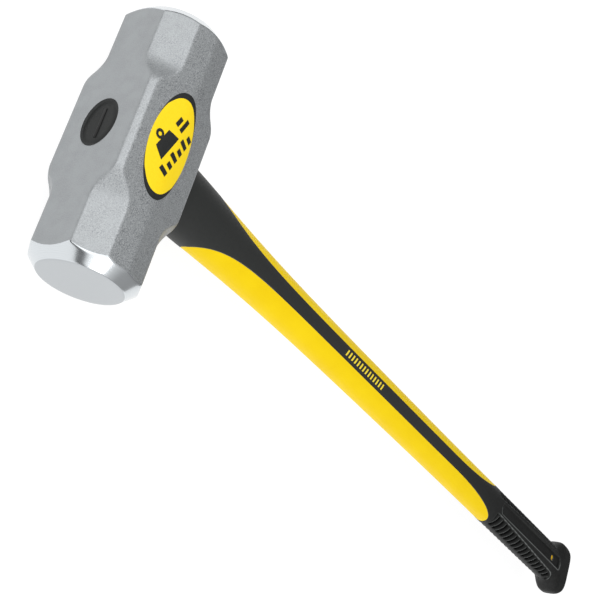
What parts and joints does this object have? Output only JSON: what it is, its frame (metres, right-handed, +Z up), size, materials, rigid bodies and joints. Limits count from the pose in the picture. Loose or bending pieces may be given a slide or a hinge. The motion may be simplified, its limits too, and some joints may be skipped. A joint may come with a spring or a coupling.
{
  "type": "sledgehammer",
  "caption": "Two-handed double-faced sledgehammer: forged octagonal head with ground striking faces on an oval fibreglass handle with a two-colour moulded grip",
  "frame": {"origin": "on the floor under the middle of the overall length, with the hammer lying on one cheek", "axes": "+X from the head towards the butt of the handle, +Y along the head, +Z up through the cheeks"},
  "size_m": [0.891, 0.202, 0.0777],
  "materials": {
    "head_steel": "silver-grey textured paint on forged steel, with bare ground striking faces",
    "fibreglass": "pultruded glass fibre rod",
    "yellow_plastic": "satin moulded yellow plastic",
    "black_rubber": "matt black moulded rubber",
    "resin": "cast dark epoxy",
    "wedge_plastic": "moulded plastic",
    "seal_rubber": "matt rubber",
    "label": null
  },
  "bodies": {
    "root": {"head": "head_steel", "core_rod": "fibreglass", "handle_jacket": "yellow_plastic", "grip_overmould": "black_rubber", "eye_resin": "resin", "eye_wedge": "wedge_plastic", "eye_seal": "seal_rubber", "weight_label": "label"}
  },
  "joints": []
}
